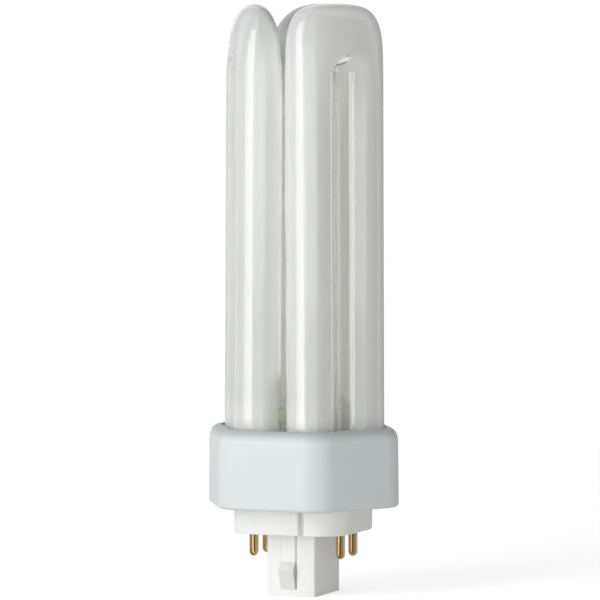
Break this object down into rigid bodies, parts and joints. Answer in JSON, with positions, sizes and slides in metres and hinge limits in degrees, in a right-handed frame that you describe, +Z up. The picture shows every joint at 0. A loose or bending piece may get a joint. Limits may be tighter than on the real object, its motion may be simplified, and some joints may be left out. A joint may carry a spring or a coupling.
{
  "type": "four pin compact fluorescent lamp",
  "caption": "Compact fluorescent lamp: folded U-shaped glass tubes on a rounded hexagonal collar, with a pin base and snap post.",
  "frame": {"origin": "centre of the flat end face of the base's post", "axes": "+Z up the lamp's axis towards the top of the glass, Y through the two latch faces of the post, X along the wide spacing of the pins"},
  "size_m": [0.05, 0.0454, 0.147],
  "materials": {
    "coated_glass": "clear glass, coated inside with opaque white phosphor",
    "collar_plastic": "satin off-white moulding",
    "base_plastic": "satin white moulding",
    "cement": "dull grey cement",
    "pin_brass": "drawn brass, bright",
    "lead_wire": "nickel wire"
  },
  "bodies": {
    "root": {"discharge_tube": "coated_glass", "tube_collar": "collar_plastic", "base_cap": "base_plastic", "bonding_cement": "cement", "contact_pin_1": "pin_brass", "contact_pin_2": "pin_brass", "contact_pin_3": "pin_brass", "contact_pin_4": "pin_brass", "lead_wire_1": "lead_wire", "lead_wire_2": "lead_wire", "lead_wire_3": "lead_wire", "lead_wire_4": "lead_wire"}
  },
  "joints": []
}
